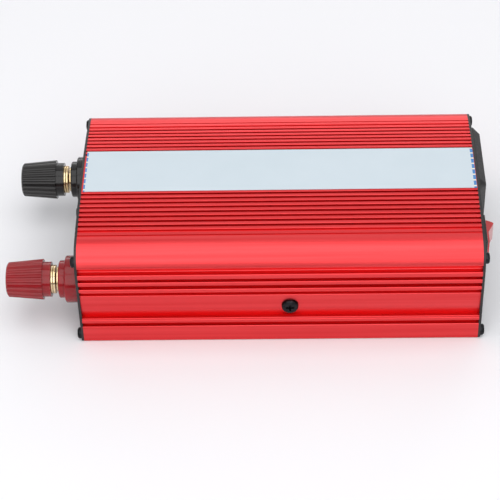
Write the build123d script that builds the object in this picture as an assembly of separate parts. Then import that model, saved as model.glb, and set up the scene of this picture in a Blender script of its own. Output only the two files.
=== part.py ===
from build123d import *
from math import atan2, cos, pi, radians, sin, sqrt
import os

# Frame: millimetres. X runs along the case, from the binding posts (-X) to the socket end (+X).
# Z is up. The origin is on the underside, in the middle of the case's length and width.

# Case
LENGTH = 200.0
HALF_LENGTH = LENGTH / 2
HEIGHT = 61.6
HALF_WIDTH = 59.2
ARCH_RADIUS = 320.0
SHOULDER_RADIUS = 13.5
SEAM_Z = 14.4
ROOF = 3.2
INNER_Y = 54.0

# Lengthwise grooves in the top
GROOVE_PITCH = 3.175
FIRST_GROOVE = 5
LAST_GROOVE = 13
GROOVE_DEPTH = 1.9
GROOVE_TOP = 1.5
GROOVE_TAPER = 0.75
GROOVE_ROUND = 0.28
LAST_GROOVE_DEPTH = 0.9
STEP_LINE_Y = 44.4
STEP_LINE = (0.8, 0.5)

# Ribs and flat band on the sides. Each rib is (top, bottom)
SHOULDER_LIP_Z = 48.1
SHOULDER_LIP_ROUND = 0.9
RIBS = ((44.9, 42.0), (40.1, 37.6), (35.4, 33.3))
RIB_Y = 59.2
RIB_ROUND = 0.6
SIDE_GROOVE_Y = 56.0
BAND_TOP = (58.3, 30.4)
BAND_WAIST = (57.4, 19.5)
BAND_FOOT = (56.4, 15.0)
LEDGE_Y = 58.9
LEDGE_TOP = 15.4
SEAM_ROUND = 0.35

# Lower tray
FLOOR = 2.2
TRAY_INNER_Y = 52.6
TRAY_GROOVE = (12.3, 10.0)
TRAY_GROOVE_Y = 56.4
SHELF_Z = 9.6
SHELF_Y = 54.6
LIP_Z = (11.3, 16.2)
LIP_Y = (52.5, 54.5)

# Bores that take the end-plate screws, as (y, z) on the +Y side. The top one has a channel around it
TOP_BORE = (54.3, 50.2)
LOW_BORE = (56.2, 3.0)
CHANNEL_RADIUS = 3.4
CHANNEL_BORE = 1.35

# End plates
PLATE = 1.2
PLATE_OUT = HALF_LENGTH + PLATE
M3_HEAD = 2.9
M3_HEAD_HEIGHT = 2.1
M3_SHANK = 1.3
M3_HOLE = 1.6

# Side screws and the transistor clamps behind them
SIDE_SCREW_X = 5.0
SIDE_SCREW_Z = 22.5
SIDE_SEAT_Y = 57.2
M4_HEAD = 4.2
M4_HEAD_HEIGHT = 2.5
M4_SHANK = 2.0
M4_HOLE = 2.15

# Label
LABEL_X = (-99.2, 99.8)
LABEL_Y = (-14.0, 18.2)
LABEL = 0.2

# Binding posts: distances are along X, measured outwards from the middle of the case
POST_Y = 39.5
POST_Z = 25.0
KNOB_TIP = 138.8
KNOB_RIM = 137.7
KNOB_SKIRT = 120.1
KNOB_END = 116.0
KNOB_TIP_RADIUS = 8.85
KNOB_SKIRT_RADIUS = 10.4
COLLAR_RADIUS = 8.95
FLUTES = 24
FLUTE_RADIUS = 0.95
FLUTE_OFFSET = 0.35
INSERT_RADIUS = 4.6
INSERT_TIP = 132.5
INSERT_FLANGE = 7.3
INSERT_FACE = 114.9
WASHER_OUT = 114.8
WASHER_IN = 113.6
STUD_FLANGE_OUT = 113.0
STUD_FLANGE_IN = 112.0
STUD_FLANGE = 6.4
BRASS_ROUND = 0.25
STUD_RADIUS = 3.0
STUD_TIP = 131.0
STUD_TAIL = 88.0
THREAD_GAP = 0.05
BASE_COLLAR = 9.6
BASE_STEP = 108.7
BASE_FLANGE = 12.0
SPIGOT_RADIUS = 6.4
INSULATOR_IN = 97.0
LUG_IN = 96.0
NUT_IN = 91.0
NUT_RADIUS = 5.77

# Socket block
SOCKET_Y = 23.4
SOCKET_Z = 29.0
SOCKET_WIDTH = 49.0
SOCKET_HEIGHT = 48.4
SOCKET_OUT = 106.5
SOCKET_BEVEL = 3.5
SOCKET_CORNER = 4.5
SOCKET_TUB_WIDTH = 43.6
SOCKET_TUB_HEIGHT = 39.6
SOCKET_TUB_IN = 83.0
SOCKET_WALL = 1.8
SOCKET_FACE = 3.0
PIN_SIDE = 9.9
PIN_LOW = -4.0
EARTH_HIGH = 10.0
PIN_SLOT = (8.4, 5.2)
BLADE_SIDE = 6.35
BLADE_SLOT = (2.2, 9.0)
LEAF_GAP = 2.35
LEAF = 0.6

# Rocker switch: it tilts about a vertical pin
SWITCH_Y = -33.0
SWITCH_Z = 43.8
BEZEL = (21.0, 15.0)
BEZEL_OUT = 103.5
SWITCH_BODY = (19.0, 12.8)
SWITCH_IN = 87.0
SWITCH_OPENING = (17.7, 10.6)
PIVOT_X = 101.6
PIVOT_PIN = 1.0
ROCKER_REACH = 8.6
ROCKER_HALF_WIDTH = 5.1
ROCKER_CORNER = 4.7
ROCKER_TILT = 12.5

# Front board with the charging port and lamps
PORT_Y = -33.0
PORT_Z = 22.0
PORT_SIZE = (13.1, 5.7)
PORT_SHEET = 0.35
PORT_OUT = 102.3
FRONT_BOARD_X = (88.0, 89.6)
FRONT_BOARD_Y = (-50.0, -7.0)
FRONT_BOARD_Z = (13.0, 34.0)
LAMP_Y = -14.0
LAMP_HEIGHTS = {"power_lamp": 26.0, "fault_lamp": 18.0}
LAMP_RADIUS = 1.5
SPACERS = ((-46.0, 30.0), (-22.0, 16.5))

# Fan
FAN_Z = 33.0
FAN_SIZE = 40.0
FAN_IN = 90.0
FAN_BORE = 18.8
FAN_HOLE_SPACING = 32.0
HUB_RADIUS = 9.5
BLADE_COUNT = 7
BLADE_TIP = 18.2
BLADE_PITCH = 38.0

# Main board and what stands on it
BOARD_X = (-86.0, 78.0)
BOARD_HALF = 54.4
BOARD_Z = (9.6, 11.2)
TRANSISTOR_OFFSETS = (-22.0, -9.0, 9.0, 22.0)
TRANSISTOR_LIFT = 5.5
TAB_LIFT = 14.7
TAB_TOP = 21.1
STRIP = 0.3
BODY_DEPTH = 4.5
CLAMP_DEPTH = 3.0
TRANSFORMER_X = -8.0
BOARD_TOP = BOARD_Z[1]


# ---- Helpers ----

def block(x_range, y_range, z_range):
    """A box between two limits on each axis."""
    size = [high - low for low, high in (x_range, y_range, z_range)]
    centre = [(high + low) / 2 for low, high in (x_range, y_range, z_range)]
    return Pos(*centre) * Box(*size)


def prism(sketch, x0, x1, y=0.0, z=0.0):
    """A Y-Z sketch centred on (y, z), extruded along X from x0 to x1."""
    return extrude(Plane.YZ.offset(x0) * Pos(y, z) * sketch, amount=x1 - x0)


def disc(radius, x0, x1, y=0.0, z=0.0):
    """A cylinder along X."""
    return prism(Circle(radius), x0, x1, y, z)


def pillar(radius, z0, z1, x, y):
    """A cylinder along Z."""
    return Pos(x, y, (z0 + z1) / 2) * Cylinder(radius, z1 - z0)


def rod(start, end, radius):
    """A cylinder from one point to another."""
    run = Vector(*end) - Vector(*start)
    return extrude(Plane(origin=start, z_dir=run) * Circle(radius), amount=run.length)


def wire(points, bend, radius):
    """A round wire along straight runs joined by tangent arcs."""
    path = FilletPolyline(*points, radius=bend)
    profile = Plane(origin=path @ 0, z_dir=path % 0) * Circle(radius)
    return sweep(profile, path=path)


def spin_x(points):
    """A solid of revolution about the X axis, from (x, radius) points."""
    return revolve(make_face(Polyline(*points, close=True)), Axis.X)


def group(shapes):
    """Separate solids that share one node."""
    return Compound(children=list(shapes))


def end_face_edges(shape, x):
    """The edges that lie wholly in the plane X = x."""
    return shape.edges().filter_by_position(Axis.X, x - 0.01, x + 0.01)


# ---- Case ----

def shoulder_centre():
    """Centre (y, z) of the shoulder arc, which is tangent to the arch and to the side."""
    y = HALF_WIDTH - SHOULDER_RADIUS
    z = HEIGHT - ARCH_RADIUS + sqrt((ARCH_RADIUS - SHOULDER_RADIUS) ** 2 - y ** 2)
    return y, z


def arch_z(y, inset=0.0):
    """Height of the arch at y, or of the same arch set inwards."""
    return HEIGHT - ARCH_RADIUS + sqrt((ARCH_RADIUS - inset) ** 2 - y ** 2)


def envelope(base_z):
    """The smooth outside of the case's section, from base_z up."""
    centre_y, centre_z = shoulder_centre()
    tangent_y = centre_y * ARCH_RADIUS / (ARCH_RADIUS - SHOULDER_RADIUS)
    half_turn = (pi / 2 - atan2(centre_y, arch_z(0) - HEIGHT + ARCH_RADIUS)) / 2
    middle_y = centre_y + SHOULDER_RADIUS * cos(half_turn)
    middle_z = centre_z + SHOULDER_RADIUS * sin(half_turn)
    tangent_z = arch_z(tangent_y)
    edges = [ThreePointArc((-tangent_y, tangent_z), (0, HEIGHT), (tangent_y, tangent_z))]
    for side in (1, -1):
        shoulder = ((side * tangent_y, tangent_z), (side * middle_y, middle_z), (side * HALF_WIDTH, centre_z))
        edges.append(ThreePointArc(*shoulder))
        edges.append(Line((side * HALF_WIDTH, centre_z), (side * HALF_WIDTH, base_z)))
    edges.append(Line((-HALF_WIDTH, base_z), (HALF_WIDTH, base_z)))
    return make_face(edges)


def roof_cavity():
    """The inside of the upper shell, open at the bottom."""
    corner_y = 49.5
    corner_z = arch_z(corner_y, ROOF)
    wall_top = (INNER_Y, 50.3)
    roof = ThreePointArc((-corner_y, corner_z), (0, HEIGHT - ROOF), (corner_y, corner_z))
    right = Polyline((corner_y, corner_z), wall_top, (INNER_Y, 0), (-INNER_Y, 0))
    left = Polyline((-INNER_Y, 0), (-wall_top[0], wall_top[1]), (-corner_y, corner_z))
    return make_face(roof.edges() + right.edges() + left.edges())


def top_groove(y, width, depth):
    """One lengthwise groove in the arch, tapering to its floor."""
    z = arch_z(y)
    floor = width * GROOVE_TAPER / 2
    slope = (width / 2 - floor) / depth
    above = 0.5
    top = width / 2 + above * slope
    low = z - depth
    return make_face(Polyline((y - top, z + above), (y + top, z + above), (y + floor, low), (y - floor, low),
                              close=True))


def side_relief():
    """What is cut away from one side of the envelope to leave the ribs and the flat band."""
    outside = HALF_WIDTH + 3
    points = [(outside, SHOULDER_LIP_Z), (SIDE_GROOVE_Y, SHOULDER_LIP_Z)]
    for top, bottom in RIBS:
        points.append((SIDE_GROOVE_Y, top))
        points.append((RIB_Y, top))
        points.append((RIB_Y, bottom))
        points.append((SIDE_GROOVE_Y, bottom))
    points.append((SIDE_GROOVE_Y, BAND_TOP[1]))
    points.append(BAND_TOP)
    points.append(BAND_WAIST)
    points.append(BAND_FOOT)
    points.append((LEDGE_Y, LEDGE_TOP))
    points.append((LEDGE_Y, SEAM_Z - 1))
    points.append((outside, SEAM_Z - 1))
    cutter = make_face(Polyline(*points, close=True))
    corners = [v for v in cutter.vertices() if v.X < outside - 0.1 and v.Y > LEDGE_TOP + 0.1]
    cutter = fillet(corners, RIB_ROUND)
    ledge = [v for v in cutter.vertices() if abs(v.Y - LEDGE_TOP) < 0.01]
    return fillet(ledge, SEAM_ROUND)


def both_sides(sketch):
    """A section and its mirror image across the middle of the case."""
    return sketch + mirror(sketch, about=Plane.YZ)


def both_circles(centre, radius):
    """A circle and its mirror image, for a screw's channel or bore."""
    return both_sides(Pos(*centre) * Circle(radius))


def side_screw_hole(side):
    """The clearance hole and flat seat for one side screw."""
    outside = HALF_WIDTH + 3
    hole = rod((SIDE_SCREW_X, side * 50, SIDE_SCREW_Z), (SIDE_SCREW_X, side * outside, SIDE_SCREW_Z), M4_HOLE)
    seat_start = (SIDE_SCREW_X, side * SIDE_SEAT_Y, SIDE_SCREW_Z)
    seat = rod(seat_start, (SIDE_SCREW_X, side * outside, SIDE_SCREW_Z), M4_HEAD + 0.15)
    return hole + seat


def round_corners(section):
    """Softened groove mouths, shoulder lips and seam edges of the upper shell's section."""
    mouths = [v for v in section.vertices() if abs(v.X) < STEP_LINE_Y and abs(v.Y - arch_z(v.X)) < 0.01]
    section = fillet(mouths, GROOVE_ROUND)
    lips = [v for v in section.vertices() if abs(v.Y - SHOULDER_LIP_Z) < 0.01 and abs(v.X) > SIDE_GROOVE_Y + 1]
    section = fillet(lips, SHOULDER_LIP_ROUND)
    seams = [v for v in section.vertices() if abs(v.Y - SEAM_Z) < 0.01 and abs(v.X) > LEDGE_Y - 0.1]
    return fillet(seams, SEAM_ROUND)


def upper_shell():
    outside = envelope(SEAM_Z)
    section = outside - roof_cavity()
    section += both_circles(TOP_BORE, CHANNEL_RADIUS) & outside
    section -= both_sides(side_relief())
    for index in range(FIRST_GROOVE, LAST_GROOVE + 1):
        depth = LAST_GROOVE_DEPTH if index == LAST_GROOVE else GROOVE_DEPTH
        section -= both_sides(top_groove(index * GROOVE_PITCH, GROOVE_TOP, depth))
    section = round_corners(section)
    section -= both_sides(top_groove(STEP_LINE_Y, *STEP_LINE))
    lip = Pos(sum(LIP_Y) / 2, sum(LIP_Z) / 2) * Rectangle(LIP_Y[1] - LIP_Y[0], LIP_Z[1] - LIP_Z[0])
    section += both_sides(lip)
    section -= both_circles(TOP_BORE, CHANNEL_BORE)
    shell = prism(section, -HALF_LENGTH, HALF_LENGTH)
    for side in (1, -1):
        shell -= side_screw_hole(side)
    return shell


def lower_shell():
    outline = Pos(0, SEAM_Z / 2) * Rectangle(2 * HALF_WIDTH, SEAM_Z)
    groove_top, groove_bottom = TRAY_GROOVE
    for side in (1, -1):
        middle = (side * HALF_WIDTH, (groove_top + groove_bottom) / 2)
        outline -= Pos(*middle) * Rectangle(2 * (HALF_WIDTH - TRAY_GROOVE_Y), groove_top - groove_bottom)
    outside_corners = [v for v in outline.vertices() if abs(v.X) > TRAY_GROOVE_Y + 0.1]
    section = fillet(outside_corners, 0.5)
    section -= Pos(0, SEAM_Z / 2 + FLOOR) * Rectangle(2 * TRAY_INNER_Y, SEAM_Z)
    section -= Pos(0, SHELF_Z + SEAM_Z / 2) * Rectangle(2 * SHELF_Y, SEAM_Z)
    section -= both_circles(LOW_BORE, CHANNEL_BORE)
    return prism(section, -HALF_LENGTH, HALF_LENGTH)


def screw_places():
    """The four end-plate screw axes as (y, z)."""
    return [(side * y, z) for y, z in (TOP_BORE, LOW_BORE) for side in (1, -1)]


def blank_plate(x0, x1):
    """An end plate with its four screw holes and rounded lower corners."""
    outline = envelope(0)
    corners = [v for v in outline.vertices() if v.Y < 1]
    plate = prism(fillet(corners, 0.8), x0, x1)
    for y, z in screw_places():
        plate -= disc(M3_HOLE, x0, x1, y, z)
    return plate


def arc_slot(radius, width, start, turn):
    """One curved slot of the fan grille, as a ring segment."""
    ring = Circle(radius + width / 2) - Circle(radius - width / 2)
    reach = 2 * radius
    stop = start + turn
    wedge_points = [(0, 0)]
    for angle in (start, start + turn / 2, stop):
        wedge_points.append((reach * cos(radians(angle)), reach * sin(radians(angle))))
    return ring & make_face(Polyline(*wedge_points, close=True))


def rear_plate():
    x0, x1 = -PLATE_OUT, -HALF_LENGTH
    plate = blank_plate(x0, x1)
    for side in (1, -1):
        plate -= disc(SPIGOT_RADIUS + 0.2, x0, x1, side * POST_Y, POST_Z)
    for radius in (6.0, 10.5, 15.0):
        for quarter in range(4):
            plate -= prism(arc_slot(radius, 2.8, 90 * quarter + 9, 72), x0, x1, 0, FAN_Z)
    for y, z in fan_screw_places():
        plate -= disc(M3_HOLE, x0, x1, y, z)
    return plate


def front_plate():
    x0, x1 = HALF_LENGTH, PLATE_OUT
    plate = blank_plate(x0, x1)
    plate -= prism(Rectangle(SOCKET_TUB_WIDTH + 0.4, SOCKET_TUB_HEIGHT + 0.4), x0, x1, SOCKET_Y, SOCKET_Z)
    plate -= prism(Rectangle(SWITCH_BODY[0] + 0.2, SWITCH_BODY[1] + 0.2), x0, x1, SWITCH_Y, SWITCH_Z)
    plate -= prism(Rectangle(PORT_SIZE[0] + 0.4, PORT_SIZE[1] + 0.4), x0, x1, PORT_Y, PORT_Z)
    for z in LAMP_HEIGHTS.values():
        plate -= disc(LAMP_RADIUS + 0.1, x0, x1, LAMP_Y, z)
    for index in range(5):
        plate -= prism(SlotOverall(13, 1.8), x0, x1, -12.3, 38.0 + 3.2 * index)
    return plate


def pan_screw(radius, height, shank, length, recess):
    """A pan-head screw along +X from its seat at x = 0, with its head on the -X side."""
    head = disc(radius, -height, 0)
    head = fillet(end_face_edges(head, -height), height * 0.55)
    arms = Rectangle(recess * 2, recess * 0.45) + Rectangle(recess * 0.45, recess * 2)
    head -= prism(arms, -height, -height * 0.35)
    tip = shank * 0.4
    body = chamfer(end_face_edges(disc(shank, 0, length), length), tip)
    return head + body


def end_screws(end):
    """The four screws of one end plate. end is -1 at the posts and +1 at the socket."""
    turn = Rot(0, 0, 0) if end < 0 else Rot(0, 0, 180)
    screw = pan_screw(M3_HEAD, M3_HEAD_HEIGHT, M3_SHANK, 10.0, 1.5)
    return group(Pos(end * PLATE_OUT, y, z) * turn * screw for y, z in screw_places())


def side_screws():
    screw = pan_screw(M4_HEAD, M4_HEAD_HEIGHT, M4_SHANK, 12.0, 2.1)
    placed = []
    for side in (1, -1):
        placed.append(Pos(SIDE_SCREW_X, side * SIDE_SEAT_Y, SIDE_SCREW_Z) * Rot(0, 0, -90 * side) * screw)
    return group(placed)


def label():
    """A thin sticker that follows the arch over nearly the whole length."""
    y0, y1 = LABEL_Y
    gap = 0.02
    middle = (y0 + y1) / 2
    low = ThreePointArc((y0, arch_z(y0) + gap), (middle, arch_z(middle) + gap), (y1, arch_z(y1) + gap))
    high_gap = gap + LABEL
    high = ThreePointArc((y0, arch_z(y0) + high_gap), (middle, arch_z(middle) + high_gap),
                         (y1, arch_z(y1) + high_gap))
    ends = [Line(low @ 0, high @ 0), Line(low @ 1, high @ 1)]
    return prism(make_face([low, high] + ends), *LABEL_X)


def case_parts():
    return {
        "upper_shell": upper_shell(),
        "lower_shell": lower_shell(),
        "rear_plate": rear_plate(),
        "front_plate": front_plate(),
        "rear_plate_screws": end_screws(-1),
        "front_plate_screws": end_screws(1),
        "side_screws": side_screws(),
        "label": label(),
    }


# ---- Binding posts ----

def knob():
    """Fluted, slightly tapered knob with a plain collar, bored for its brass insert."""
    bore = INSERT_RADIUS + THREAD_GAP
    body = spin_x([
        (-KNOB_TIP, 0), (-KNOB_TIP, 6.2), (-KNOB_TIP + 0.3, 7.9), (-KNOB_RIM, KNOB_TIP_RADIUS),
        (-KNOB_SKIRT, KNOB_SKIRT_RADIUS), (-KNOB_SKIRT, COLLAR_RADIUS), (-KNOB_END, COLLAR_RADIUS),
        (-KNOB_END, bore), (-INSERT_TIP, bore), (-INSERT_TIP, 0),
    ])
    taper = (KNOB_SKIRT_RADIUS - KNOB_TIP_RADIUS) / (KNOB_RIM - KNOB_SKIRT)
    overrun = 3.0
    start_radius = KNOB_TIP_RADIUS + FLUTE_OFFSET - overrun * taper
    end_radius = KNOB_SKIRT_RADIUS + FLUTE_OFFSET
    for index in range(FLUTES):
        angle = 2 * pi * index / FLUTES
        start = (-KNOB_RIM - overrun, start_radius * cos(angle), start_radius * sin(angle))
        end = (-KNOB_SKIRT, end_radius * cos(angle), end_radius * sin(angle))
        body -= rod(start, end, FLUTE_RADIUS)
    return body


def soft_rims(body, radius):
    """A turned brass piece with the circular rims of one radius rounded."""
    circles = body.edges().filter_by(GeomType.CIRCLE)
    return fillet([edge for edge in circles if abs(edge.radius - radius) < 0.01], BRASS_ROUND)


def knob_insert():
    """Threaded brass insert, with the flange and neck that hold the captive washer."""
    bore = STUD_RADIUS + THREAD_GAP
    neck = 4.0
    lip = 4.5
    lip_start = WASHER_IN + 0.35
    body = spin_x([
        (-INSERT_TIP, bore), (-INSERT_TIP, INSERT_RADIUS), (-KNOB_END, INSERT_RADIUS),
        (-KNOB_END, INSERT_FLANGE), (-INSERT_FACE, INSERT_FLANGE), (-INSERT_FACE, neck),
        (-lip_start, neck), (-lip_start, lip), (-WASHER_IN, lip), (-WASHER_IN, bore),
    ])
    return soft_rims(body, INSERT_FLANGE)


def captive_washer():
    """Brass washer that rides on the insert's neck and is kept on by its lip."""
    bore = 4.05
    recess = 4.6
    recess_start = WASHER_IN + 0.4
    body = spin_x([
        (-WASHER_OUT, bore), (-WASHER_OUT, INSERT_FLANGE), (-WASHER_IN, INSERT_FLANGE), (-WASHER_IN, recess),
        (-recess_start, recess), (-recess_start, bore),
    ])
    return soft_rims(body, INSERT_FLANGE)


def stud():
    """Brass stud with the fixed flange that a lug is clamped against."""
    body = spin_x([
        (-STUD_TIP, 0), (-STUD_TIP, STUD_RADIUS - 0.5), (-STUD_TIP + 0.5, STUD_RADIUS),
        (-STUD_FLANGE_OUT, STUD_RADIUS), (-STUD_FLANGE_OUT, STUD_FLANGE), (-STUD_FLANGE_IN, STUD_FLANGE),
        (-STUD_FLANGE_IN, STUD_RADIUS), (-STUD_TAIL, STUD_RADIUS), (-STUD_TAIL, 0),
    ])
    return soft_rims(body, STUD_FLANGE)


def post_base():
    """Insulating base outside the plate, with a spigot through it."""
    bore = STUD_RADIUS + THREAD_GAP
    body = spin_x([
        (-STUD_FLANGE_IN, bore), (-STUD_FLANGE_IN, BASE_COLLAR), (-BASE_STEP, BASE_COLLAR),
        (-BASE_STEP, BASE_FLANGE), (-PLATE_OUT, BASE_FLANGE), (-PLATE_OUT, SPIGOT_RADIUS),
        (-HALF_LENGTH, SPIGOT_RADIUS), (-HALF_LENGTH, bore),
    ])
    rims = [edge for x in (STUD_FLANGE_IN, BASE_STEP) for edge in end_face_edges(body, -x)]
    outer = [edge for edge in rims if edge.radius > BASE_COLLAR + 0.1 or edge.center().X < -BASE_STEP - 1]
    outer = [edge for edge in outer if edge.radius > STUD_RADIUS + 1]
    return fillet(outer, 0.8)


def post_insulator():
    body = disc(9.0, -HALF_LENGTH, -INSULATOR_IN)
    return body - disc(STUD_RADIUS + THREAD_GAP, -HALF_LENGTH, -INSULATOR_IN)


def ring_lug():
    """Ring, neck and barrel of the lug behind the plate."""
    barrel_radius = 3.0
    plate_face = -LUG_IN
    ring = disc(5.5, -INSULATOR_IN, plate_face)
    neck = block((-INSULATOR_IN, plate_face), (-3.0, 3.0), (3.0, 13.0))
    barrel = pillar(barrel_radius, 7.0, 13.0, plate_face + barrel_radius - 0.4, 0)
    hole = disc(STUD_RADIUS + THREAD_GAP, -INSULATOR_IN, plate_face)
    return ring + neck + barrel - hole


def stud_nut():
    hexagon = RegularPolygon(NUT_RADIUS, 6, rotation=30) - Circle(STUD_RADIUS + THREAD_GAP)
    return prism(hexagon, -LUG_IN, -NUT_IN)


def supply_cable():
    """Thick wire from the lug's barrel, up and over to the board."""
    start_x = -LUG_IN + 2.6
    end_x = start_x + 19.5
    top_z = 51.7
    points = [(start_x, 0, POST_Z + 13.0), (start_x, 0, top_z), (end_x, 0, top_z), (end_x, 0, BOARD_TOP)]
    return wire(points, 9.7, 2.25)


def at_both_posts(shape):
    """Two copies of a piece made about the X axis, one on each post."""
    return group(Pos(0, side * POST_Y, POST_Z) * shape for side in (1, -1))


def post_hardware():
    """What holds both posts behind the rear plate."""
    return {
        "post_insulators": at_both_posts(post_insulator()),
        "ring_lugs": at_both_posts(ring_lug()),
        "post_nuts": at_both_posts(stud_nut()),
    }


def post_parts(colour, side):
    """One binding post and its cable. side is +1 towards +Y and -1 towards -Y."""
    place = Pos(0, side * POST_Y, POST_Z)
    pieces = {
        "knob": knob(),
        "knob_insert": knob_insert(),
        "captive_washer": captive_washer(),
        "post_stud": stud(),
        "post_base": post_base(),
    }
    parts = {f"{colour}_{name}": place * shape for name, shape in pieces.items()}
    parts[f"{colour}_cable"] = Pos(0, side * POST_Y, 0) * supply_cable()
    return parts


# ---- Socket ----

def pin_openings():
    """The three pin openings, as a sketch centred on the socket."""
    openings = Pos(0, EARTH_HIGH) * SlotOverall(PIN_SLOT[0], PIN_SLOT[1], rotation=90)
    for side in (1, -1):
        openings += Pos(side * PIN_SIDE, PIN_LOW) * SlotOverall(*PIN_SLOT)
        openings += Pos(side * BLADE_SIDE, PIN_LOW) * Rectangle(*BLADE_SLOT)
    return openings


def ac_socket():
    """Bevelled block outside the plate and an open tub behind it."""
    outline = RectangleRounded(SOCKET_WIDTH, SOCKET_HEIGHT, SOCKET_CORNER)
    head = prism(outline, PLATE_OUT, SOCKET_OUT, SOCKET_Y, SOCKET_Z)
    head = chamfer(end_face_edges(head, SOCKET_OUT), SOCKET_BEVEL)
    tub = prism(Rectangle(SOCKET_TUB_WIDTH, SOCKET_TUB_HEIGHT), SOCKET_TUB_IN, PLATE_OUT, SOCKET_Y, SOCKET_Z)
    hollow = Rectangle(SOCKET_TUB_WIDTH - 2 * SOCKET_WALL, SOCKET_TUB_HEIGHT - 2 * SOCKET_WALL)
    body = head + tub - prism(hollow, SOCKET_TUB_IN, SOCKET_OUT - SOCKET_FACE, SOCKET_Y, SOCKET_Z)
    return body - prism(pin_openings(), SOCKET_OUT - SOCKET_FACE, SOCKET_OUT, SOCKET_Y, SOCKET_Z)


def contact(turn):
    """A two-leaf brass contact around one pin, with its tab behind the cover."""
    leaf_front = 101.0
    leaf_back = 85.4
    half = 3.4
    shape = prism(Rectangle(2 * half, 2 * (LEAF_GAP + LEAF)), leaf_back, leaf_front)
    shape -= prism(Rectangle(2 * half, 2 * LEAF_GAP), leaf_back + LEAF, leaf_front)
    shape += block((76.0, leaf_back), (-2.0, 2.0), (-0.4, 0.4))
    return Rot(turn, 0, 0) * shape


def contact_places():
    """Each contact's (y, z) and its turn about X."""
    low = SOCKET_Z + PIN_LOW
    return ((SOCKET_Y - PIN_SIDE, low, 0), (SOCKET_Y + PIN_SIDE, low, 0), (SOCKET_Y, SOCKET_Z + EARTH_HIGH, 90))


def socket_contacts():
    return group(Pos(0, y, z) * contact(turn) for y, z, turn in contact_places())


def socket_rear_cover():
    thickness = 1.6
    outline = Rectangle(SOCKET_TUB_WIDTH, SOCKET_TUB_HEIGHT)
    cover = prism(outline, SOCKET_TUB_IN - thickness, SOCKET_TUB_IN, SOCKET_Y, SOCKET_Z)
    for y, z, turn in contact_places():
        slot = Rot(0, 0, turn) * Rectangle(4.2, 1.0)
        cover -= prism(slot, SOCKET_TUB_IN - thickness, SOCKET_TUB_IN, y, z)
    return cover


# ---- Switch ----

def switch_housing():
    bezel = prism(RectangleRounded(*BEZEL, 1.0), PLATE_OUT, BEZEL_OUT, SWITCH_Y, SWITCH_Z)
    bezel = fillet(end_face_edges(bezel, BEZEL_OUT), 0.6)
    body = bezel + prism(Rectangle(*SWITCH_BODY), SWITCH_IN, PLATE_OUT, SWITCH_Y, SWITCH_Z)
    body -= prism(Rectangle(*SWITCH_OPENING), SWITCH_IN + 1.2, BEZEL_OUT, SWITCH_Y, SWITCH_Z)
    pin_hole = SWITCH_BODY[1] / 2
    body -= pillar(PIVOT_PIN + THREAD_GAP, SWITCH_Z - pin_hole, SWITCH_Z + pin_hole, PIVOT_X, SWITCH_Y)
    return body


def rocker():
    """Rocker with two faces that meet in a shallow valley, tilted so that its +Y end stands out."""
    corner_y = sqrt(ROCKER_REACH ** 2 - ROCKER_CORNER ** 2)
    valley = ROCKER_CORNER - corner_y * sin(radians(ROCKER_TILT)) / cos(radians(ROCKER_TILT))
    foot_x = -2.4
    foot_y = sqrt(ROCKER_REACH ** 2 - foot_x ** 2)
    edges = [
        Line((ROCKER_CORNER, corner_y), (valley, 0)),
        Line((valley, 0), (ROCKER_CORNER, -corner_y)),
        ThreePointArc((ROCKER_CORNER, -corner_y), (0, -ROCKER_REACH), (foot_x, -foot_y)),
        Line((foot_x, -foot_y), (foot_x, foot_y)),
        ThreePointArc((foot_x, foot_y), (0, ROCKER_REACH), (ROCKER_CORNER, corner_y)),
    ]
    body = extrude(make_face(edges), amount=ROCKER_HALF_WIDTH, both=True)
    tips = body.edges().filter_by(Axis.Z).filter_by_position(Axis.X, 2, 6)
    body = fillet(tips, 0.4)
    body += Cylinder(PIVOT_PIN, 2 * (ROCKER_HALF_WIDTH + 1.1))
    return Pos(PIVOT_X, SWITCH_Y, SWITCH_Z) * Rot(0, 0, -ROCKER_TILT) * body


def switch_terminals():
    return group(block((79.0, SWITCH_IN), (SWITCH_Y + y - 0.4, SWITCH_Y + y + 0.4), (SWITCH_Z - 2.4, SWITCH_Z + 2.4))
                 for y in (-5.0, 5.0))


# ---- Front board ----

def usb_shell():
    """Folded steel shell of the charging port."""
    shell = prism(Rectangle(*PORT_SIZE), FRONT_BOARD_X[1], PORT_OUT, PORT_Y, PORT_Z)
    inside = Rectangle(PORT_SIZE[0] - 2 * PORT_SHEET, PORT_SIZE[1] - 2 * PORT_SHEET)
    return shell - prism(inside, FRONT_BOARD_X[1] + 1.0, PORT_OUT, PORT_Y, PORT_Z)


def usb_tongue():
    return block((FRONT_BOARD_X[1] + 1.0, 100.5), (PORT_Y - 5.6, PORT_Y + 5.6), (PORT_Z + 0.2, PORT_Z + 2.0))


def lamp(z):
    """A domed lamp with its flange and two legs to the front board."""
    flange_x = 96.0
    body = disc(1.9, flange_x, flange_x + 1, LAMP_Y, z) + disc(LAMP_RADIUS, flange_x, 101.2, LAMP_Y, z)
    body += Pos(101.2, LAMP_Y, z) * Sphere(LAMP_RADIUS)
    for side in (1, -1):
        y = LAMP_Y + 1.0 * side
        body += block((FRONT_BOARD_X[1], flange_x), (y - 0.25, y + 0.25), (z - 0.25, z + 0.25))
    return body


def front_board_spacers():
    hexagon = RegularPolygon(2.6, 6)
    return group(prism(hexagon, FRONT_BOARD_X[1], HALF_LENGTH, y, z) for y, z in SPACERS)


def front_board_screws():
    screw = pan_screw(2.3, 1.6, 1.1, FRONT_BOARD_X[1] - FRONT_BOARD_X[0], 1.2)
    return group(Pos(FRONT_BOARD_X[0], y, z) * screw for y, z in SPACERS)


def front_board():
    board = block(FRONT_BOARD_X, FRONT_BOARD_Y, FRONT_BOARD_Z)
    for y, z in SPACERS:
        board -= disc(1.15, *FRONT_BOARD_X, y, z)
    return board


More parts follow.
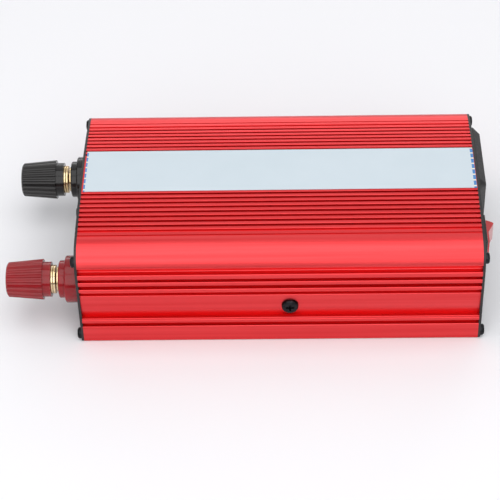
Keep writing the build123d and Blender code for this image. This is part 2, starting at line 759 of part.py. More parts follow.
def front_parts():
    parts = {
        "ac_socket": ac_socket(),
        "socket_contacts": socket_contacts(),
        "socket_rear_cover": socket_rear_cover(),
        "switch_housing": switch_housing(),
        "rocker": rocker(),
        "switch_terminals": switch_terminals(),
        "usb_shell": usb_shell(),
        "usb_tongue": usb_tongue(),
        "front_board": front_board(),
        "front_board_spacers": front_board_spacers(),
        "front_board_screws": front_board_screws(),
    }
    for name, z in LAMP_HEIGHTS.items():
        parts[name] = lamp(z)
    return parts


# ---- Fan ----

def fan_screw_places():
    """The four fan screw axes as (y, z)."""
    half = FAN_HOLE_SPACING / 2
    return [(y, FAN_Z + z) for y in (-half, half) for z in (-half, half)]


def fan_frame():
    """Square frame with a round duct, four struts, the motor plate and the bearing tube."""
    outer, inner = -HALF_LENGTH, -FAN_IN
    motor_plate = inner - 2.0
    frame = prism(RectangleRounded(FAN_SIZE, FAN_SIZE, 3.0), outer, inner, 0, FAN_Z)
    frame -= disc(FAN_BORE, outer, inner, 0, FAN_Z)
    struts = Rectangle(2 * FAN_BORE + 1, 2.0) + Rectangle(2.0, 2 * FAN_BORE + 1)
    frame += prism(Rot(0, 0, 45) * struts, motor_plate, inner, 0, FAN_Z)
    frame += disc(9.0, motor_plate, inner, 0, FAN_Z)
    frame += disc(2.2, outer + 2.6, motor_plate, 0, FAN_Z)
    frame -= disc(1.0 + THREAD_GAP, outer, inner, 0, FAN_Z)
    for y, z in fan_screw_places():
        frame -= disc(1.7, outer, inner, y, z)
    return frame


def fan_rotor():
    """Hub cup with its shaft and pitched blades."""
    front, back = -HALF_LENGTH + 1.0, -FAN_IN - 2.4
    middle = (front + back) / 2
    blade_size = (0.9, BLADE_TIP - HUB_RADIUS + 2.0, 8.4)
    blade = Pos(middle, HUB_RADIUS + blade_size[1] / 2 - 0.5, 0) * Rot(0, 90 - BLADE_PITCH, 0) * Box(*blade_size)
    ring = disc(BLADE_TIP, front + 0.2, back - 0.2)
    ring -= disc(HUB_RADIUS - 0.5, front, back)
    rotor = disc(HUB_RADIUS, front, back)
    for index in range(BLADE_COUNT):
        rotor += (Rot(360 * index / BLADE_COUNT, 0, 0) * blade) & ring
    rotor -= disc(HUB_RADIUS - 1.0, front + 1.0, back)
    rotor += disc(1.0, front + 0.5, -FAN_IN - 0.5)
    return Pos(0, 0, FAN_Z) * rotor


def fan_stator():
    """Coil ring around the bearing tube, inside the hub."""
    return disc(7.6, -HALF_LENGTH + 2.8, -FAN_IN - 2.0, 0, FAN_Z) - disc(2.25, -HALF_LENGTH, -FAN_IN, 0, FAN_Z)


def fan_screws():
    screw = pan_screw(M3_HEAD, M3_HEAD_HEIGHT, 1.5, 14.5, 1.5)
    return group(Pos(-PLATE_OUT, y, z) * screw for y, z in fan_screw_places())


def fan_nuts():
    hexagon = RegularPolygon(3.1, 6) - Circle(1.5 + THREAD_GAP)
    return group(prism(hexagon, -FAN_IN, -FAN_IN + 2.4, y, z) for y, z in fan_screw_places())


def fan_parts():
    return {
        "fan_frame": fan_frame(),
        "fan_rotor": fan_rotor(),
        "fan_stator": fan_stator(),
        "fan_screws": fan_screws(),
        "fan_nuts": fan_nuts(),
    }


# ---- Inside the case ----

def transistor(x, side):
    """A flat power transistor standing against the side wall, tab outwards."""
    wall = INNER_Y - STRIP
    half = 5.1
    low, middle, high = BOARD_TOP + TRANSISTOR_LIFT, BOARD_TOP + TAB_LIFT, BOARD_TOP + TAB_TOP
    body = block((x - half, x + half), (wall - BODY_DEPTH, wall), (low, middle))
    tab = block((x - half, x + half), (wall - 1.3, wall), (middle, high))
    hole_z = (middle + high) / 2
    tab -= rod((x, wall - 2, hole_z), (x, wall + 1, hole_z), 1.8)
    shape = body + tab
    for offset in (-2.54, 0, 2.54):
        lead_x = x + offset
        lead_y = wall - 2.4
        shape += block((lead_x - 0.4, lead_x + 0.4), (lead_y - 0.25, lead_y + 0.25), (BOARD_TOP, low))
    return shape if side > 0 else mirror(shape, about=Plane.XZ)


def power_transistors():
    return group(transistor(SIDE_SCREW_X + offset, side) for side in (1, -1) for offset in TRANSISTOR_OFFSETS)


def clamp_bars():
    """Steel bars that the side screws pull against the transistors."""
    face = INNER_Y - STRIP - BODY_DEPTH
    half_height = 4.0
    bar = block((SIDE_SCREW_X - 30, SIDE_SCREW_X + 30), (face - CLAMP_DEPTH, face),
                (SIDE_SCREW_Z - half_height, SIDE_SCREW_Z + half_height))
    bore = M4_SHANK + THREAD_GAP
    bar -= rod((SIDE_SCREW_X, face - CLAMP_DEPTH, SIDE_SCREW_Z), (SIDE_SCREW_X, face, SIDE_SCREW_Z), bore)
    return group((bar, mirror(bar, about=Plane.XZ)))


def insulation_strips():
    """Thin insulating strips between the transistors and the side walls."""
    strip_z = (BOARD_TOP + TRANSISTOR_LIFT - 0.3, BOARD_TOP + TAB_TOP + 1.4)
    strip = block((SIDE_SCREW_X - 30, SIDE_SCREW_X + 30), (INNER_Y - STRIP, INNER_Y), strip_z)
    strip -= rod((SIDE_SCREW_X, INNER_Y - 1, SIDE_SCREW_Z), (SIDE_SCREW_X, INNER_Y + 1, SIDE_SCREW_Z), M4_HOLE)
    return group((strip, mirror(strip, about=Plane.XZ)))


def transformer_parts():
    """Two E-shaped core halves, a bobbin and its winding, standing on the board."""
    x = TRANSFORMER_X
    core_half, core_depth = 20.0, 7.0
    core_z = (BOARD_TOP + 3.0, BOARD_TOP + 41.0)
    leg, outer_leg, yoke = 6.0, 6.0, 6.0
    window_z = (core_z[0] + yoke, core_z[1] - yoke)
    joint_z = (core_z[0] + core_z[1]) / 2
    core = block((x - core_half, x + core_half), (-core_depth, core_depth), core_z)
    for side in (1, -1):
        window = sorted((x + side * leg, x + side * (core_half - outer_leg)))
        core -= block(window, (-core_depth, core_depth), window_z)
    seam = 0.05
    lower = core & block((x - 50, x + 50), (-50, 50), (0, joint_z - seam))
    upper = core & block((x - 50, x + 50), (-50, 50), (joint_z + seam, 100))

    gap = 0.15
    flange = 1.2
    reach_x, reach_y = core_half - outer_leg - gap, 15.0
    tube_x, tube_y = leg + 1.2, core_depth + 1.2
    inside_x, inside_y = leg + gap, core_depth + gap
    inside_z = (window_z[0] + gap, window_z[1] - gap)
    bobbin = block((x - tube_x, x + tube_x), (-tube_y, tube_y), inside_z)
    for low in (inside_z[0], inside_z[1] - flange):
        bobbin += block((x - reach_x, x + reach_x), (-reach_y, reach_y), (low, low + flange))
    bobbin -= block((x - inside_x, x + inside_x), (-inside_y, inside_y), inside_z)
    foot_y = (core_depth + gap, reach_y)
    for side in (1, -1):
        foot = sorted(side * y for y in foot_y)
        bobbin += block((x - reach_x, x + reach_x), foot, (BOARD_TOP, inside_z[0] + flange))

    coil_z = (inside_z[0] + flange, inside_z[1] - flange)
    coil_outline = RectangleRounded(2 * reach_x - 1.0, 2 * reach_y - 1.5, 4.0)
    coil_outline -= Rectangle(2 * tube_x, 2 * tube_y)
    coil = extrude(Plane.XY.offset(coil_z[0]) * Pos(x, 0) * coil_outline, amount=coil_z[1] - coil_z[0])
    return {"transformer_core": group((lower, upper)), "transformer_bobbin": bobbin, "transformer_winding": coil}


def capacitor(x, y, radius, height):
    """An upright can with a crimped groove near its foot and a rounded top."""
    can = pillar(radius, BOARD_TOP, BOARD_TOP + height, x, y)
    top = can.edges().filter_by_position(Axis.Z, BOARD_TOP + height - 0.1, BOARD_TOP + height + 0.1)
    can = fillet(top, 0.8)
    crimp = pillar(radius + 1, BOARD_TOP + 2.2, BOARD_TOP + 3.2, x, y)
    crimp -= pillar(radius - 0.5, BOARD_TOP + 2.2, BOARD_TOP + 3.2, x, y)
    return can - crimp


def blade_fuses():
    """Three flat fuses in a row, each with two blades."""
    fuses = []
    for x in (-66.0, -58.0, -50.0):
        body = block((x - 2.5, x + 2.5), (18.0, 37.0), (BOARD_TOP + 6, BOARD_TOP + 18))
        for y in (20.5, 34.5):
            body += block((x - 0.4, x + 0.4), (y - 2.4, y + 2.4), (BOARD_TOP + 2, BOARD_TOP + 6))
        fuses.append(body)
    return group(fuses)


def fuse_clips():
    """Brass clips that hold the fuse blades on the board."""
    clips = []
    for x in (-66.0, -58.0, -50.0):
        for y in (20.5, 34.5):
            clip = block((x - 1.4, x + 1.4), (y - 2.6, y + 2.6), (BOARD_TOP, BOARD_TOP + 5.5))
            clip -= block((x - 0.4, x + 0.4), (y - 2.6, y + 2.6), (BOARD_TOP + 2, BOARD_TOP + 5.5))
            clips.append(clip)
    return group(clips)


def choke_parts():
    """A flat ring core with a wound ring around it."""
    x, y, z = 52.0, 26.0, BOARD_TOP + 7.0
    core = Pos(x, y, z) * (Cylinder(10.5, 8.0) - Cylinder(6.0, 8.0))
    coil = Pos(x, y, z) * (Cylinder(12.5, 12.0) - Cylinder(4.0, 12.0))
    coil -= Pos(x, y, z) * (Cylinder(10.6, 8.2) - Cylinder(5.9, 8.2))
    gap = Pos(x, y - 9.0, z) * Box(5.0, 12.0, 13.0)
    return {"choke_core": core, "choke_winding": coil - gap}


def control_chips():
    """Two flat chips with their legs on the board."""
    chips = []
    y0, y1 = -45.0, -38.7
    leg = 0.3
    for x in (20.0, 45.0):
        body = block((x - 9.5, x + 9.5), (y0, y1), (BOARD_TOP + 1.0, BOARD_TOP + 4.4))
        for index in range(8):
            leg_x = x - 8.9 + 2.54 * index
            for leg_y in (y0 - leg, y1):
                body += block((leg_x - leg, leg_x + leg), (leg_y, leg_y + leg), (BOARD_TOP, BOARD_TOP + 2.6))
        chips.append(body)
    return group(chips)


def filter_capacitor():
    body = block((55.0, 73.0), (-26.0, -17.0), (BOARD_TOP, BOARD_TOP + 14))
    return fillet(body.edges().filter_by(Axis.Z), 0.8)


def drop_wire(start, end_x, bend, radius):
    """A wire that leaves along X and then drops to the board."""
    x, y, z = start
    return wire([start, (end_x, y, z), (end_x, y, BOARD_TOP)], bend, radius)


def socket_wires():
    return group(drop_wire((76.0, y, SOCKET_Z + PIN_LOW), 68.0, 5.0, 1.1)
                 for y in (SOCKET_Y - PIN_SIDE, SOCKET_Y + PIN_SIDE))


def switch_wires():
    return group(drop_wire((79.0, SWITCH_Y + y, SWITCH_Z), 70.0, 6.0, 1.0) for y in (-5.0, 5.0))


def low_voltage_wires():
    """Thin pairs from the fan and from the front board."""
    fan_pair = [drop_wire((-FAN_IN, y, 19.0), -80.0, 5.0, 0.7) for y in (-1.0, 1.0)]
    port_pair = [drop_wire((FRONT_BOARD_X[0], PORT_Y + y, 24.0), 74.5, 6.0, 0.7) for y in (-1.0, 1.0)]
    return group(fan_pair + port_pair)


def inner_parts():
    parts = {
        "circuit_board": block(BOARD_X, (-BOARD_HALF, BOARD_HALF), BOARD_Z),
        "power_transistors": power_transistors(),
        "clamp_bars": clamp_bars(),
        "insulation_strips": insulation_strips(),
        "input_capacitors": group(capacitor(-60.0, y, 6.3, 25.0) for y in (-34.0, -19.0, -4.0)),
        "bulk_capacitor": capacitor(40.0, -10.0, 11.0, 38.0),
        "blade_fuses": blade_fuses(),
        "fuse_clips": fuse_clips(),
        "control_chips": control_chips(),
        "filter_capacitor": filter_capacitor(),
        "socket_wires": socket_wires(),
        "switch_wires": switch_wires(),
        "low_voltage_wires": low_voltage_wires(),
    }
    parts.update(transformer_parts())
    parts.update(choke_parts())
    return parts


def main():
    parts = case_parts()
    parts.update(post_parts("black", 1))
    parts.update(post_parts("red", -1))
    parts.update(post_hardware())
    parts.update(front_parts())
    parts.update(fan_parts())
    parts.update(inner_parts())
    os.makedirs("parts", exist_ok=True)
    for name, shape in parts.items():
        export_step(shape, f"parts/{name}.step")
    print(len(parts), "parts written")


main()
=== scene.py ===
import math

import bpy
from mathutils import Euler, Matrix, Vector


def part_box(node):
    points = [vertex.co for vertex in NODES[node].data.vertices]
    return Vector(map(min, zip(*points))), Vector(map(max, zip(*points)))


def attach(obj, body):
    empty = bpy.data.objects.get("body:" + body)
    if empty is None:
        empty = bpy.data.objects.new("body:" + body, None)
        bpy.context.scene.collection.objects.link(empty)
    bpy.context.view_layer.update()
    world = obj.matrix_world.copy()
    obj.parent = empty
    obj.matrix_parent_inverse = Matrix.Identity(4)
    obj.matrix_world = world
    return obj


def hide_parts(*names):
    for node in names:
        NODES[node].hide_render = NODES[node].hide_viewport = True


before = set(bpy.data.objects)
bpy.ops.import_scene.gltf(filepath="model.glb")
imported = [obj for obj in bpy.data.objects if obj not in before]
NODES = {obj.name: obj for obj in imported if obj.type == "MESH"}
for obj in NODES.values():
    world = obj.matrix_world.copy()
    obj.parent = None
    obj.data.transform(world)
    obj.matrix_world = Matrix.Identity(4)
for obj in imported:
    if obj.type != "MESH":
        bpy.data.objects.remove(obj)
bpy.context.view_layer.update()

MM = 0.001

# Camera and framing
CAMERA_PLACE = (0.00459, -0.72031, 0.65980)
CAMERA_TURN = (47.854, 1.229, 0.517)
CAMERA_LENS = 132.0

# Lights: turn about the vertical and elevation in degrees, distance, (width, height) in metres and radiance
SOFTBOXES = {
    "overhead_box": (0.0, 84.0, 1.1, (1.5, 0.78), 1.9),
    "front_box": (0.0, 38.0, 1.2, (1.6, 1.04), 2.0),
    "back_box": (0.0, 130.0, 1.2, (1.6, 0.9), 0.75),
    "low_back_box": (0.0, 162.0, 1.3, (1.6, 0.4), 2.0),
    "socket_end_box": (90.0, 30.0, 1.3, (0.9, 0.7), 0.8),
    "post_end_box": (-90.0, 30.0, 1.3, (0.9, 0.7), 0.8),
}
ROOM_LIGHT = 0.12
ROOM_SEEN = 0.9

# Threads of the two studs, which are M6 in size with one turn to the millimetre
POST_COLOURS = ("black", "red")
THREAD_PITCH = 1.0 * MM
THREAD_DEPTH = 0.55 * MM
THREAD_CREST = 3.0 * MM
STUD_FLANGE = 1.0 * MM
STUD_EDGE = 0.12 * MM
STUD_EDGE_RINGS = (-0.13 * MM, -0.01 * MM, 0.01 * MM, 0.13 * MM)
STUD_LEAD_IN = 1.2 * MM
STUD_TIP_SHARE = 0.55
STUD_TIP_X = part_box("red_post_stud")[0].x
STUD_SIDES = 48
RINGS_PER_TURN = 8

# Wound wire. The choke's share is its core's inner radius over its outer one
CHOKE_TURNS = 14
CHOKE_WIRE = 0.85 * MM
CHOKE_BORE_SHARE = 6.0 / 10.5
CHOKE_GAP = 64
TRANSFORMER_TURNS = 22
WIRE_CLEARANCE = 0.98

# Printed border at the two ends of the label
BORDER = 0.0014
LEFT_BORDER_SHARE = 0.6
DASHES_PER_METRE = 230.0
DASH_GAP = 0.22

# Angles above which an edge stays sharp, in degrees
CAD_SHARP = 28
PIECE_SHARP = 40

# Floor
FLOOR_HALF = 4.0
FLOOR_Z = -0.2 * MM


# ---- Material helpers ----

def srgb(red, green, blue):
    """A linear colour from 0 to 255 screen values."""
    def linear(value):
        value = value / 255
        return value / 12.92 if value <= 0.04045 else ((value + 0.055) / 1.055) ** 2.4
    return (linear(red), linear(green), linear(blue), 1.0)


class Maker:
    """Builds one node material around a Principled shader."""

    def __init__(self, name, colour, roughness=0.5, metallic=0.0, **sockets):
        self.material = bpy.data.materials.new(name)
        self.material.use_nodes = True
        self.tree = self.material.node_tree
        self.shader = self.tree.nodes["Principled BSDF"]
        self.set("Base Color", colour)
        self.set("Roughness", roughness)
        self.set("Metallic", metallic)
        for socket, value in sockets.items():
            self.set(socket.replace("_", " "), value)
        self.place = self.add("ShaderNodeTexCoord").outputs["Object"]

    def set(self, socket, value):
        self.shader.inputs[socket].default_value = value

    def add(self, kind, **settings):
        node = self.tree.nodes.new(kind)
        for key, value in settings.items():
            setattr(node, key, value)
        return node

    def link(self, source, target):
        self.tree.links.new(source, target)

    def stretched(self, scale):
        """Object coordinates with a scale on each axis."""
        mapping = self.add("ShaderNodeMapping")
        mapping.inputs["Scale"].default_value = scale
        self.link(self.place, mapping.inputs["Vector"])
        return mapping.outputs["Vector"]

    def noise(self, scale, vector=None, detail=3.0):
        node = self.add("ShaderNodeTexNoise")
        node.inputs["Scale"].default_value = scale
        node.inputs["Detail"].default_value = detail
        self.link(vector or self.place, node.inputs["Vector"])
        return node.outputs["Fac"]

    def spread(self, value, low, high, start=0.3, end=0.7):
        """Maps a 0 to 1 value on to low to high."""
        node = self.add("ShaderNodeMapRange")
        node.inputs["From Min"].default_value = start
        node.inputs["From Max"].default_value = end
        node.inputs["To Min"].default_value = low
        node.inputs["To Max"].default_value = high
        self.link(value, node.inputs["Value"])
        return node.outputs["Result"]

    def maths(self, operation, first, second=None):
        node = self.add("ShaderNodeMath", operation=operation)
        for socket, value in zip(node.inputs, (first, second)):
            if value is None:
                continue
            if isinstance(value, (int, float)):
                socket.default_value = value
            else:
                self.link(value, socket)
        return node.outputs[0]

    def between(self, value, low, high):
        """1 where value is between low and high, else 0."""
        above = self.maths("GREATER_THAN", value, low)
        below = self.maths("LESS_THAN", value, high)
        return self.maths("MULTIPLY", above, below)

    def axes(self):
        split = self.add("ShaderNodeSeparateXYZ")
        self.link(self.place, split.inputs[0])
        return split.outputs["X"], split.outputs["Y"], split.outputs["Z"]

    def mix(self, factor, first, second):
        """Blends two colours, each a value or a socket."""
        node = self.add("ShaderNodeMix", data_type="RGBA")
        for socket, value in ((node.inputs[0], factor), (node.inputs[6], first), (node.inputs[7], second)):
            if isinstance(value, (int, float, tuple)):
                socket.default_value = value
            else:
                self.link(value, socket)
        return node.outputs[2]

    def colour(self, socket):
        self.link(socket, self.shader.inputs["Base Color"])

    def roughness(self, socket):
        self.link(socket, self.shader.inputs["Roughness"])

    def bump(self, height, distance, strength=1.0):
        node = self.add("ShaderNodeBump")
        node.inputs["Strength"].default_value = strength
        node.inputs["Distance"].default_value = distance
        self.link(height, node.inputs["Height"])
        self.link(node.outputs["Normal"], self.shader.inputs["Normal"])


# ---- Materials ----

def anodised_red():
    """Satin red anodising over an extruded surface, with fine lengthwise die lines."""
    deep = srgb(219, 61, 64)
    light = srgb(231, 75, 78)
    m = Maker("anodised_red", deep, 0.34, 1.0)
    die_lines = m.noise(1.0, m.stretched((5.0, 1700.0, 1700.0)), 3.0)
    broad = m.noise(1.0, m.stretched((6.0, 420.0, 420.0)), 3.0)
    m.colour(m.mix(m.spread(broad, 0.0, 1.0), deep, light))
    m.roughness(m.spread(die_lines, 0.3, 0.42))
    m.bump(die_lines, 0.00005, 0.6)
    return m.material


def black_powder():
    """Fine-textured black coating on thin sheet."""
    m = Maker("black_powder", srgb(28, 27, 28), 0.5)
    grain = m.noise(2600.0, detail=2.0)
    broad = m.noise(60.0)
    m.colour(m.mix(m.spread(broad, 0.0, 1.0), srgb(22, 21, 22), srgb(33, 32, 33)))
    m.roughness(m.spread(grain, 0.4, 0.56))
    m.bump(grain, 0.00006, 0.6)
    return m.material


def moulded(name, dark, light, rough_low, rough_high, grain=900.0, depth=0.00002, coat=0.0, **sockets):
    """Moulded plastic with slight colour drift and a fine surface."""
    m = Maker(name, dark, rough_low, Coat_Weight=coat, **sockets)
    drift = m.noise(70.0)
    fine = m.noise(grain, detail=2.0)
    m.colour(m.mix(m.spread(drift, 0.0, 1.0), dark, light))
    m.roughness(m.spread(fine, rough_low, rough_high))
    m.bump(fine, depth, 0.5)
    return m.material


def turned_metal(name, dark, light, rough_low=0.16, rough_high=0.32):
    """Turned metal with fine rings about the X axis and slight tarnish."""
    m = Maker(name, light, 0.25, 1.0)
    rings = m.noise(1.0, m.stretched((5200.0, 60.0, 60.0)), 2.0)
    tarnish = m.noise(240.0)
    m.colour(m.mix(m.spread(tarnish, 0.0, 1.0, 0.35, 0.75), light, dark))
    m.roughness(m.spread(rings, rough_low, rough_high))
    m.bump(rings, 0.00002, 0.4)
    return m.material


def sheet_metal(name, dark, light, rough_low=0.28, rough_high=0.45):
    """Rolled or plated steel with small scratches."""
    m = Maker(name, dark, rough_low, 1.0)
    scratches = m.noise(1.0, m.stretched((900.0, 60.0, 900.0)), 4.0)
    m.colour(m.mix(m.spread(scratches, 0.0, 1.0), dark, light))
    m.roughness(m.spread(scratches, rough_low, rough_high))
    m.bump(scratches, 0.00001, 0.4)
    return m.material


def label_film():
    """Pale satin sticker with what is left of a printed border at its two ends."""
    pale = srgb(195, 208, 216)
    m = Maker("label_film", pale, 0.42, Coat_Weight=0.15, Coat_Roughness=0.3)
    x, y, _ = m.axes()
    low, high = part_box("label")
    left = m.between(x, low.x - 1, low.x + BORDER * LEFT_BORDER_SHARE)
    right = m.between(x, high.x - BORDER, high.x + 1)
    dash = m.maths("FRACT", m.maths("MULTIPLY", y, DASHES_PER_METRE))
    inked = m.maths("GREATER_THAN", dash, DASH_GAP)
    ends = m.maths("MAXIMUM", left, right)
    cream = srgb(236, 226, 200)
    blue = srgb(62, 128, 190)
    drift = m.noise(40.0)
    base = m.mix(m.spread(drift, 0.0, 1.0), pale, srgb(199, 211, 219))
    print_colour = m.mix(inked, cream, blue)
    m.colour(m.mix(ends, base, print_colour))
    m.roughness(m.spread(m.noise(700.0), 0.36, 0.48))
    return m.material


def circuit_green():
    """Solder mask over copper tracks."""
    m = Maker("circuit_green", srgb(18, 74, 40), 0.35)
    cells = m.add("ShaderNodeTexVoronoi", feature="DISTANCE_TO_EDGE")
    cells.inputs["Scale"].default_value = 160.0
    m.link(m.place, cells.inputs["Vector"])
    tracks = m.maths("LESS_THAN", cells.outputs["Distance"], 0.09)
    m.colour(m.mix(tracks, srgb(14, 62, 34), srgb(34, 104, 56)))
    m.roughness(m.spread(m.noise(500.0), 0.28, 0.42))
    m.bump(tracks, 0.00003, 0.6)
    return m.material


def sleeve(name, colour, shade):
    """Soft wire sleeve."""
    return moulded(name, shade, colour, 0.42, 0.58, 1400.0, 0.00003)


def make_materials():
    black_plastic = (srgb(24, 22, 22), srgb(34, 31, 30))
    brass = (srgb(200, 168, 116), srgb(238, 216, 176))
    steel = (srgb(150, 150, 152), srgb(196, 196, 198))
    return {
        "red_metal": anodised_red(),
        "black_powder": black_powder(),
        "label": label_film(),
        "black_gloss": moulded("black_gloss", *black_plastic, 0.16, 0.24, coat=0.15,
                               Specular_IOR_Level=0.35),
        "red_gloss": moulded("red_gloss", srgb(136, 8, 18), srgb(150, 14, 24), 0.16, 0.24, coat=0.15,
                             Specular_IOR_Level=0.35),
        "black_satin": moulded("black_satin", srgb(30, 28, 29), srgb(42, 39, 40), 0.36, 0.5),
        "dark_matt": moulded("dark_matt", srgb(24, 24, 25), srgb(34, 34, 35), 0.5, 0.62),
        "rocker_red": moulded("rocker_red", srgb(178, 14, 22), srgb(196, 22, 28), 0.14, 0.2, coat=0.5),
        "white_plastic": moulded("white_plastic", srgb(222, 220, 214), srgb(236, 234, 230), 0.4, 0.5),
        "brass": turned_metal("brass", *brass),
        "tin": turned_metal("tin", srgb(150, 146, 136), srgb(206, 202, 190), 0.3, 0.45),
        "black_screw": sheet_metal("black_screw", srgb(30, 30, 32), srgb(52, 52, 55), 0.3, 0.42),
        "bright_steel": sheet_metal("bright_steel", *steel),
        "board": circuit_green(),
        "copper": turned_metal("copper", srgb(120, 58, 26), srgb(196, 110, 62), 0.25, 0.4),
        "ferrite": moulded("ferrite", srgb(40, 40, 42), srgb(58, 58, 60), 0.55, 0.7, 1500.0, 0.00005),
        "green_ferrite": moulded("green_ferrite", srgb(24, 84, 66), srgb(36, 100, 80), 0.35, 0.5),
        "tape": moulded("tape", srgb(196, 150, 26), srgb(216, 174, 44), 0.32, 0.45),
        "blue_sleeve": moulded("blue_sleeve", srgb(16, 26, 84), srgb(26, 38, 104), 0.25, 0.35),
        "fuse_green": moulded("fuse_green", srgb(26, 128, 54), srgb(44, 156, 74), 0.12, 0.2),
        "yellow_case": moulded("yellow_case", srgb(206, 160, 24), srgb(222, 178, 40), 0.3, 0.4),
        "grey_silicone": moulded("grey_silicone", srgb(148, 152, 158), srgb(168, 172, 178), 0.55, 0.7),
        "lamp_green": moulded("lamp_green", srgb(50, 150, 70), srgb(70, 170, 90), 0.08, 0.14),
        "lamp_red": moulded("lamp_red", srgb(170, 30, 30), srgb(190, 44, 40), 0.08, 0.14),
        "wire_brown": sleeve("wire_brown", srgb(96, 54, 30), srgb(80, 42, 24)),
        "wire_red": sleeve("wire_red", srgb(172, 22, 26), srgb(150, 16, 20)),
        "wire_black": sleeve("wire_black", srgb(36, 35, 35), srgb(24, 24, 24)),
    }


NODE_LOOKS = {
    "red_metal": ("upper_shell", "lower_shell"),
    "black_powder": ("rear_plate", "front_plate"),
    "label": ("label",),
    "black_screw": ("rear_plate_screws", "front_plate_screws", "side_screws", "fan_screws"),
    "black_gloss": ("black_knob", "black_post_base", "switch_housing"),
    "red_gloss": ("red_knob", "red_post_base"),
    "brass": ("black_knob_insert", "red_knob_insert", "black_captive_washer", "red_captive_washer",
              "black_post_stud", "red_post_stud", "socket_contacts", "post_nuts", "front_board_spacers"),
    "black_satin": ("ac_socket", "post_insulators", "transformer_bobbin"),
    "dark_matt": ("fan_frame", "fan_rotor", "control_chips", "power_transistors", "socket_rear_cover"),
    "rocker_red": ("rocker",),
    "white_plastic": ("usb_tongue",),
    "tin": ("ring_lugs", "switch_terminals", "fuse_clips"),
    "bright_steel": ("usb_shell", "fan_nuts", "clamp_bars", "front_board_screws"),
    "board": ("circuit_board", "front_board"),
    "copper": ("fan_stator", "choke_winding"),
    "ferrite": ("transformer_core",),
    "green_ferrite": ("choke_core",),
    "tape": ("transformer_winding",),
    "blue_sleeve": ("input_capacitors", "bulk_capacitor"),
    "fuse_green": ("blade_fuses",),
    "yellow_case": ("filter_capacitor",),
    "grey_silicone": ("insulation_strips",),
    "lamp_green": ("power_lamp",),
    "lamp_red": ("fault_lamp",),
    "wire_brown": ("socket_wires",),
    "wire_red": ("switch_wires", "red_cable"),
    "wire_black": ("low_voltage_wires", "black_cable"),
}


def dress_nodes(materials):
    """Gives every CAD node its material and smooth shading between near-level faces."""
    for look, names in NODE_LOOKS.items():
        for name in names:
            node = NODES[name]
            node.data.materials.clear()
            node.data.materials.append(materials[look])
            node.data.shade_smooth()
            node.data.set_sharp_from_angle(angle=math.radians(CAD_SHARP))


# ---- Mesh pieces that stand for plain CAD solids ----

def new_piece(name, points, faces, material, body, node):
    """A smooth mesh that rides on a body and stands for one CAD node."""
    mesh = bpy.data.meshes.new(name)
    mesh.from_pydata([tuple(point) for point in points], [], faces)
    mesh.materials.append(material)
    mesh.shade_smooth()
    mesh.set_sharp_from_angle(angle=math.radians(PIECE_SHARP))
    piece = bpy.data.objects.new(name, mesh)
    bpy.context.scene.collection.objects.link(piece)
    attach(piece, body)
    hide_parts(node)


def ring_faces(rings, sides):
    """Quads between neighbouring rings of points, with both ends closed."""
    faces = []
    for ring in range(rings - 1):
        for side in range(sides):
            after = (side + 1) % sides
            low, high = ring * sides, (ring + 1) * sides
            faces.append((low + side, low + after, high + after, high + side))
    faces.append(tuple(reversed(range(sides))))
    faces.append(tuple(range((rings - 1) * sides, rings * sides)))
    return faces


def tube(path, radius, sides=12):
    """Points and faces of a round wire that follows a path, without twisting."""
    points = []
    along = (path[1] - path[0]).normalized()
    across = along.orthogonal().normalized()
    for index, place in enumerate(path):
        ahead = path[min(index + 1, len(path) - 1)]
        behind = path[max(index - 1, 0)]
        along = (ahead - behind).normalized()
        across = (across - along * across.dot(along)).normalized()
        side_on = along.cross(across)
        for side in range(sides):
            angle = 2 * math.pi * side / sides
            points.append(place + radius * (math.cos(angle) * across + math.sin(angle) * side_on))
    return points, ring_faces(len(path), sides)


def stud_radius(x, angle, flange, inner, outer):
    """The stud's radius at one place: a plain flange, and a rounded right-hand thread elsewhere."""
    if inner - STUD_EDGE <= x <= outer + STUD_EDGE:
        edge = min(x - inner, outer - x)
        return flange - STUD_EDGE if edge < STUD_EDGE else flange
    turns = -x / THREAD_PITCH - angle / (2 * math.pi)
    wave = 0.5 + 0.5 * math.cos(2 * math.pi * turns)
    tip = min(1.0, STUD_TIP_SHARE + (x - STUD_TIP_X) / STUD_LEAD_IN)
    return (THREAD_CREST - THREAD_DEPTH * wave) * tip


def make_stud(colour, material):
    """The brass stud with its real thread and clamping flange."""
    node = f"{colour}_post_stud"
    low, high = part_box(node)
    base_low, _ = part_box(f"{colour}_post_base")
    outer, inner = base_low.x, base_low.x - STUD_FLANGE
    centre_y, centre_z = (low.y + high.y) / 2, (low.z + high.z) / 2
    flange = (high.y - low.y) / 2
    step = THREAD_PITCH / RINGS_PER_TURN
    rings = round((high.x - low.x) / step)
    places = [low.x + (high.x - low.x) * ring / rings for ring in range(rings + 1)]
    for edge in (inner, outer):
        places += [edge + offset for offset in STUD_EDGE_RINGS]
    points = []
    for x in sorted(places):
        for side in range(STUD_SIDES):
            angle = 2 * math.pi * side / STUD_SIDES
            radius = stud_radius(x, angle, flange, inner, outer)
            points.append((x, centre_y + radius * math.cos(angle), centre_z - radius * math.sin(angle)))
    new_piece(f"threaded_stud_{colour}", points, ring_faces(len(places), STUD_SIDES), material, "case", node)


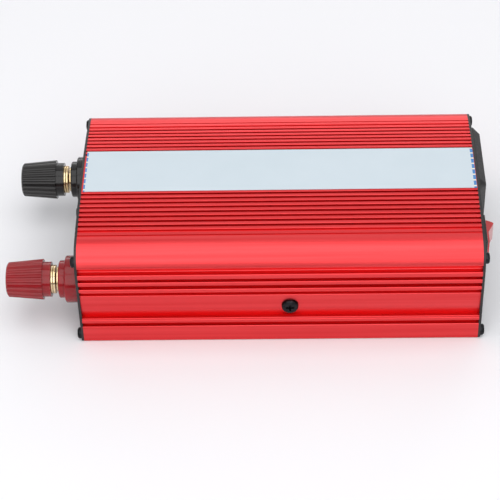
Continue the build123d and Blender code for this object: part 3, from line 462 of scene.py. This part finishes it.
def make_choke_winding(material):
    """One enamelled wire wound round the ring core, with a gap between its two ends."""
    low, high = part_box("choke_core")
    centre = (low + high) / 2
    outer = (high.x - low.x) / 2
    inner = outer * CHOKE_BORE_SHARE
    middle, half_width = (outer + inner) / 2, (outer - inner) / 2 + CHOKE_WIRE
    half_height = (high.z - low.z) / 2 + CHOKE_WIRE
    path = []
    steps = CHOKE_TURNS * 28
    for step in range(steps + 1):
        share = step / steps
        around = math.radians(-90 + CHOKE_GAP / 2 + (360 - CHOKE_GAP) * share)
        turn = 2 * math.pi * CHOKE_TURNS * share
        wide, tall = math.cos(turn), math.sin(turn)
        square = (abs(wide) ** 4 + abs(tall) ** 4) ** 0.25
        reach = middle + half_width * wide / square
        path.append(Vector((centre.x + reach * math.cos(around), centre.y + reach * math.sin(around),
                            centre.z + half_height * tall / square)))
    points, faces = tube(path, CHOKE_WIRE)
    new_piece("wound_choke_wire", points, faces, material, "case", "choke_winding")


def make_transformer_winding(material):
    """A layer of wire round the bobbin's tube, between its two flanges."""
    low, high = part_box("transformer_winding")
    centre = (low + high) / 2
    wire = (high.z - low.z) / (2 * TRANSFORMER_TURNS + 1)
    half_x, half_y = (high.x - low.x) / 2 - wire, (high.y - low.y) / 2 - wire
    path = []
    steps = TRANSFORMER_TURNS * 40
    for step in range(steps + 1):
        angle = 2 * math.pi * TRANSFORMER_TURNS * step / steps
        wide, deep = math.cos(angle), math.sin(angle)
        square = (abs(wide) ** 5 + abs(deep) ** 5) ** 0.2
        rise = low.z + wire + (high.z - low.z - 2 * wire) * step / steps
        path.append(Vector((centre.x + half_x * wide / square, centre.y + half_y * deep / square, rise)))
    points, faces = tube(path, wire * WIRE_CLEARANCE)
    new_piece("wound_transformer_wire", points, faces, material, "case", "transformer_winding")


def make_pieces(materials):
    for colour in POST_COLOURS:
        make_stud(colour, materials["brass"])
    make_choke_winding(materials["copper"])
    make_transformer_winding(materials["copper"])


# ---- Stage ----

def make_floor():
    mesh = bpy.data.meshes.new("floor")
    corners = [(x * FLOOR_HALF, y * FLOOR_HALF) for x, y in ((-1, -1), (1, -1), (1, 1), (-1, 1))]
    mesh.from_pydata([(x, y, FLOOR_Z) for x, y in corners], [], [(0, 1, 2, 3)])
    floor = bpy.data.objects.new("floor", mesh)
    bpy.context.scene.collection.objects.link(floor)
    m = Maker("floor_paint", srgb(241, 241, 244), 0.75)
    mesh.materials.append(m.material)


def add_softbox(name, turn, elevation, distance, size, radiance):
    """A rectangular softbox facing the origin, raised from the horizon on the side that turn gives."""
    angle = math.radians(elevation)
    around = math.radians(turn)
    width, height = size
    data = bpy.data.lights.new(name, "AREA")
    data.shape = "RECTANGLE"
    data.size, data.size_y = size
    data.energy = radiance * math.pi * width * height
    light = bpy.data.objects.new(name, data)
    level = distance * math.cos(angle)
    light.location = (level * math.sin(around), -level * math.cos(around), distance * math.sin(angle))
    light.rotation_euler = (math.radians(90 - elevation), 0, around)
    light.visible_camera = False
    bpy.context.scene.collection.objects.link(light)


def make_lights():
    """A tent of softboxes over a dim room that looks pale to the camera."""
    world = bpy.data.worlds.new("studio")
    bpy.context.scene.world = world
    world.use_nodes = True
    tree = world.node_tree
    background = tree.nodes["Background"]
    background.inputs["Color"].default_value = srgb(246, 247, 252)
    seen = tree.nodes.new("ShaderNodeLightPath").outputs["Is Camera Ray"]
    strength = tree.nodes.new("ShaderNodeMapRange")
    strength.inputs["To Min"].default_value = ROOM_LIGHT
    strength.inputs["To Max"].default_value = ROOM_SEEN
    tree.links.new(seen, strength.inputs["Value"])
    tree.links.new(strength.outputs["Result"], background.inputs["Strength"])
    for name, settings in SOFTBOXES.items():
        add_softbox(name, *settings)


def make_camera():
    data = bpy.data.cameras.new("camera")
    data.lens = CAMERA_LENS
    data.sensor_width = 36.0
    data.clip_start = 0.01
    camera = bpy.data.objects.new("camera", data)
    camera.location = CAMERA_PLACE
    camera.rotation_euler = Euler([math.radians(angle) for angle in CAMERA_TURN])
    bpy.context.scene.collection.objects.link(camera)
    bpy.context.scene.camera = camera


bpy.context.scene.view_settings.view_transform = "Standard"
MATERIALS = make_materials()
dress_nodes(MATERIALS)
make_pieces(MATERIALS)
make_floor()
make_lights()
make_camera()

bpy.context.view_layer.update()
